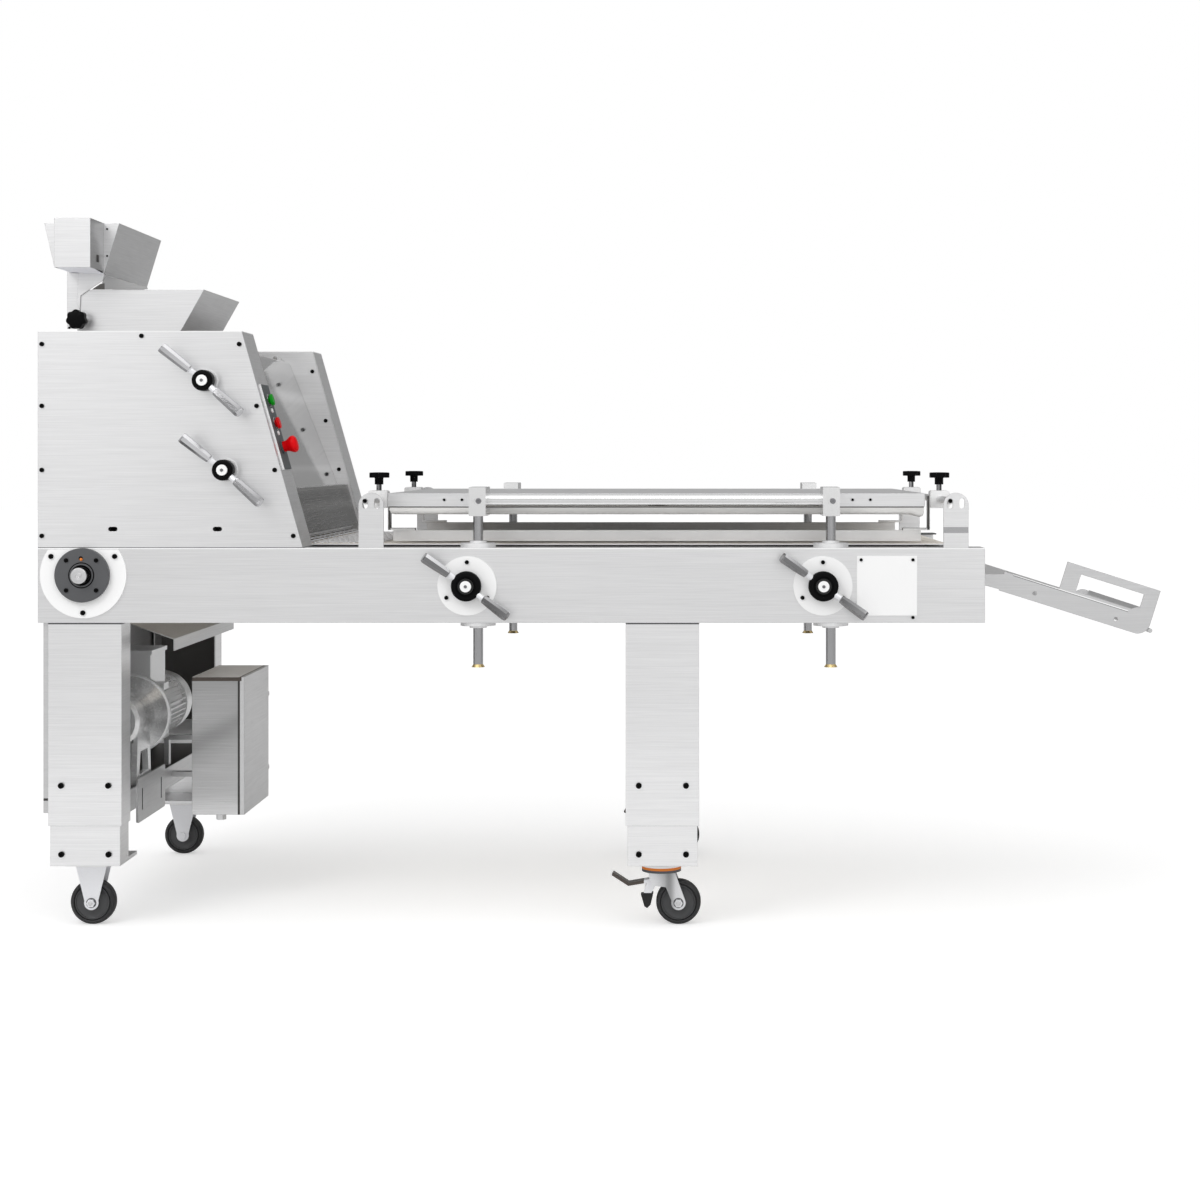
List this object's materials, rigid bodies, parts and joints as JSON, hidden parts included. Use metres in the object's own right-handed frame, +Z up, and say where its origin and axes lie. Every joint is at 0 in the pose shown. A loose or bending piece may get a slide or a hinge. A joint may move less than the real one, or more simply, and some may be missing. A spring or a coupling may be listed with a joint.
{
  "type": "baguette moulder",
  "caption": "Floor-standing dough moulder with sheeting head, hoppers, belt under a lifting press board, side guides, catch tray and swivel castors.",
  "frame": {"origin": "on the floor, on the machine's middle plane between the side beams", "axes": "+X along the conveyor towards the discharge end, -Y towards the operator, +Z up"},
  "size_m": [2.5692, 1.1505, 1.5856],
  "materials": {
    "brushed_sheet": "brushed",
    "inner_sheet": "brushed",
    "zinc": "satin",
    "light_metal": "satin",
    "cast_grey": "satin",
    "motor_iron": "painted",
    "white_paint": "satin",
    "black_plastic": "matt",
    "black_rubber": "matt",
    "roller_white": "satin",
    "canvas": "woven",
    "start_green": "gloss",
    "stop_red": "gloss",
    "strip_grey": "matt",
    "screw_black": "satin"
  },
  "bodies": {
    "machine": {"frame_rails": "brushed_sheet", "legs": "brushed_sheet", "castor_mounts": "zinc", "motor_bay": "inner_sheet", "motor": "motor_iron", "gearbox": "light_metal", "chain_case": "inner_sheet", "control_cabinet": "brushed_sheet", "head_plates": "brushed_sheet", "head_covers": "brushed_sheet", "cover_screws": "screw_black", "control_strip": "strip_grey", "head_panels": "inner_sheet", "lower_hopper": "inner_sheet", "roller_scrapers": "zinc", "bearing_plates": "white_paint", "shaft_bearings": "cast_grey", "belt": "canvas", "curling_mesh": "zinc", "guide_uprights": "brushed_sheet", "catch_tray": "inner_sheet"},
    "drive_roller": {"drive_roller": "light_metal"},
    "tail_roller": {"tail_roller": "light_metal"},
    "upper_fixed_roller": {"upper_fixed_roller": "roller_white"},
    "lower_fixed_roller": {"lower_fixed_roller": "roller_white"},
    "upper_gap": {"upper_gap_blocks": "zinc"},
    "lower_gap": {"lower_gap_blocks": "zinc"},
    "upper_moving_roller": {"upper_moving_roller": "roller_white"},
    "lower_moving_roller": {"lower_moving_roller": "roller_white"},
    "upper_gap_handle": {"upper_gap_handle": "zinc"},
    "lower_gap_handle": {"lower_gap_handle": "zinc"},
    "lift": {"lift_posts": "zinc", "clamp_blocks": "light_metal", "press_board": "brushed_sheet", "board_pad": "canvas"},
    "left_lift": {"left_lift_handle": "black_plastic", "left_lift_shaft": "zinc"},
    "right_lift": {"right_lift_handle": "black_plastic", "right_lift_shaft": "zinc"},
    "near_guide": {"near_guide": "light_metal"},
    "far_guide": {"far_guide": "light_metal"},
    "near_left_knob": {"near_left_knob": "black_plastic"},
    "near_right_knob": {"near_right_knob": "black_plastic"},
    "far_left_knob": {"far_left_knob": "black_plastic"},
    "far_right_knob": {"far_right_knob": "black_plastic"},
    "upper_hopper": {"upper_hopper": "brushed_sheet"},
    "hopper_knob": {"hopper_knob": "black_plastic"},
    "front_guard": {"front_guard": "brushed_sheet"},
    "start_button": {"start_button": "start_green"},
    "stop_button": {"stop_button": "stop_red"},
    "emergency_stop": {"emergency_stop": "stop_red"},
    "cabinet_door": {"cabinet_door": "brushed_sheet"},
    "near_left_wheel": {"near_left_wheel": "black_rubber"},
    "far_left_wheel": {"far_left_wheel": "black_rubber"},
    "near_swivel_fork": {"near_swivel_fork": "zinc"},
    "near_right_wheel": {"near_right_wheel": "black_rubber"},
    "near_brake_pedal": {"near_brake_pedal": "black_plastic"},
    "far_swivel_fork": {"far_swivel_fork": "zinc"},
    "far_right_wheel": {"far_right_wheel": "black_rubber"},
    "far_brake_pedal": {"far_brake_pedal": "black_plastic"}
  },
  "joints": [
    {"name": "drive_roller_spin", "type": "hinge", "parent": "machine", "child": "drive_roller", "pos_m": [-1.152, 0, 0.7832], "axis": [0, 1, 0], "continuous": true},
    {"name": "tail_roller_spin", "type": "hinge", "parent": "machine", "child": "tail_roller", "pos_m": [0.755, 0, 0.7832], "axis": [0, 1, 0], "continuous": true},
    {"name": "upper_fixed_spin", "type": "hinge", "parent": "machine", "child": "upper_fixed_roller", "pos_m": [-1.154, 0, 1.21], "axis": [0, 1, 0], "continuous": true},
    {"name": "lower_fixed_spin", "type": "hinge", "parent": "machine", "child": "lower_fixed_roller", "pos_m": [-1.10325, 0, 1.014], "axis": [0, 1, 0], "continuous": true},
    {"name": "upper_gap_slide", "type": "slide", "parent": "machine", "child": "upper_gap", "axis": [1, 0, 0], "range_m": [-0.006, 0.014]},
    {"name": "lower_gap_slide", "type": "slide", "parent": "machine", "child": "lower_gap", "axis": [1, 0, 0], "range_m": [-0.006, 0.014]},
    {"name": "upper_moving_spin", "type": "hinge", "parent": "upper_gap", "child": "upper_moving_roller", "pos_m": [-1.046, 0, 1.21], "axis": [0, 1, 0], "continuous": true},
    {"name": "lower_moving_spin", "type": "hinge", "parent": "lower_gap", "child": "lower_moving_roller", "pos_m": [-1.01675, 0, 1.014], "axis": [0, 1, 0], "continuous": true},
    {"name": "upper_gap_turn", "type": "hinge", "parent": "machine", "child": "upper_gap_handle", "pos_m": [-0.882, 0, 1.21], "axis": [0, -1, 0], "range_deg": [-29, 67.2]},
    {"name": "lower_gap_turn", "type": "hinge", "parent": "machine", "child": "lower_gap_handle", "pos_m": [-0.838, 0, 1.014], "axis": [0, -1, 0], "range_deg": [-29, 67.2]},
    {"name": "board_lift", "type": "slide", "parent": "machine", "child": "lift", "axis": [0, 0, 1], "range_m": [-0.026, 0.04]},
    {"name": "left_lift_turn", "type": "hinge", "parent": "machine", "child": "left_lift", "pos_m": [-0.3082, 0, 0.7595], "axis": [0, -1, 0], "range_deg": [-125, 192]},
    {"name": "right_lift_turn", "type": "hinge", "parent": "machine", "child": "right_lift", "pos_m": [0.4738, 0, 0.7595], "axis": [0, -1, 0], "range_deg": [-125, 192]},
    {"name": "near_guide_slide", "type": "slide", "parent": "machine", "child": "near_guide", "axis": [0, 1, 0], "range_m": [-0.03, 0.2]},
    {"name": "far_guide_slide", "type": "slide", "parent": "machine", "child": "far_guide", "axis": [0, 1, 0], "range_m": [-0.2, 0.03]},
    {"name": "near_left_knob_turn", "type": "hinge", "parent": "near_guide", "child": "near_left_knob", "pos_m": [-0.533, -0.303, 0.976], "axis": [0, 0, 1], "range_deg": [-270, 90]},
    {"name": "near_right_knob_turn", "type": "hinge", "parent": "near_guide", "child": "near_right_knob", "pos_m": [0.754, -0.303, 0.976], "axis": [0, 0, 1], "range_deg": [-270, 90]},
    {"name": "far_left_knob_turn", "type": "hinge", "parent": "far_guide", "child": "far_left_knob", "pos_m": [-0.533, 0.334, 0.976], "axis": [0, 0, 1], "range_deg": [-270, 90]},
    {"name": "far_right_knob_turn", "type": "hinge", "parent": "far_guide", "child": "far_right_knob", "pos_m": [0.754, 0.334, 0.976], "axis": [0, 0, 1], "range_deg": [-270, 90]},
    {"name": "hopper_tilt", "type": "hinge", "parent": "machine", "child": "upper_hopper", "pos_m": [-1.232, -0.0555, 1.36], "axis": [0, -1, 0], "range_deg": [0, 60]},
    {"name": "hopper_knob_turn", "type": "hinge", "parent": "machine", "child": "hopper_knob", "pos_m": [-1.232, -0.28, 1.36], "axis": [0, -1, 0], "range_deg": [-270, 90]},
    {"name": "guard_hinge", "type": "hinge", "parent": "machine", "child": "front_guard", "pos_m": [-0.8925, 0, 1.298], "axis": [0, -1, 0], "range_deg": [0, 100]},
    {"name": "start_press", "type": "slide", "parent": "machine", "child": "start_button", "axis": [-0.9625, 0, -0.2711], "range_m": [0, 0.004], "stiffness_N_per_m": 400, "springref_m": -0.002},
    {"name": "stop_press", "type": "slide", "parent": "machine", "child": "stop_button", "axis": [-0.9625, 0, -0.2711], "range_m": [0, 0.004], "stiffness_N_per_m": 400, "springref_m": -0.002},
    {"name": "emergency_press", "type": "slide", "parent": "machine", "child": "emergency_stop", "axis": [-0.9625, 0, -0.2711], "range_m": [0, 0.004]},
    {"name": "cabinet_door_hinge", "type": "hinge", "parent": "machine", "child": "cabinet_door", "pos_m": [-0.866, 0.05, 0.372], "axis": [0, 0, 1], "range_deg": [0, 120]},
    {"name": "near_left_wheel_spin", "type": "hinge", "parent": "machine", "child": "near_left_wheel", "pos_m": [-1.151, -0.44, 0.05], "axis": [0, 1, 0], "continuous": true},
    {"name": "far_left_wheel_spin", "type": "hinge", "parent": "machine", "child": "far_left_wheel", "pos_m": [-1.151, 0.44, 0.05], "axis": [0, 1, 0], "continuous": true},
    {"name": "near_swivel_fork_turn", "type": "hinge", "parent": "machine", "child": "near_swivel_fork", "pos_m": [0.118, -0.44, 0.12], "axis": [0, 0, 1], "continuous": true},
    {"name": "near_right_wheel_spin", "type": "hinge", "parent": "near_swivel_fork", "child": "near_right_wheel", "pos_m": [0.156, -0.44, 0.05], "axis": [0, 1, 0], "continuous": true},
    {"name": "near_brake_pedal_press", "type": "hinge", "parent": "near_swivel_fork", "child": "near_brake_pedal", "pos_m": [0.104, -0.44, 0.096], "axis": [0, -1, 0], "range_deg": [0, 12]},
    {"name": "far_swivel_fork_turn", "type": "hinge", "parent": "machine", "child": "far_swivel_fork", "pos_m": [0.118, 0.44, 0.12], "axis": [0, 0, 1], "continuous": true},
    {"name": "far_right_wheel_spin", "type": "hinge", "parent": "far_swivel_fork", "child": "far_right_wheel", "pos_m": [0.156, 0.44, 0.05], "axis": [0, 1, 0], "continuous": true},
    {"name": "far_brake_pedal_press", "type": "hinge", "parent": "far_swivel_fork", "child": "far_brake_pedal", "pos_m": [0.104, 0.44, 0.096], "axis": [0, -1, 0], "range_deg": [0, 12]}
  ],
  "couplings": [
    {"joint": "left_lift_turn", "follows": "board_lift", "rad_per_m": 83.333},
    {"joint": "right_lift_turn", "follows": "board_lift", "rad_per_m": 83.333},
    {"joint": "upper_gap_turn", "follows": "upper_gap_slide", "rad_per_m": 83.333},
    {"joint": "lower_gap_turn", "follows": "lower_gap_slide", "rad_per_m": 83.333},
    {"joint": "tail_roller_spin", "follows": "drive_roller_spin", "ratio": 1},
    {"joint": "upper_fixed_spin", "follows": "drive_roller_spin", "ratio": 0.6},
    {"joint": "upper_moving_spin", "follows": "drive_roller_spin", "ratio": -0.6},
    {"joint": "lower_fixed_spin", "follows": "drive_roller_spin", "ratio": 1.2},
    {"joint": "lower_moving_spin", "follows": "drive_roller_spin", "ratio": -1.2}
  ]
}
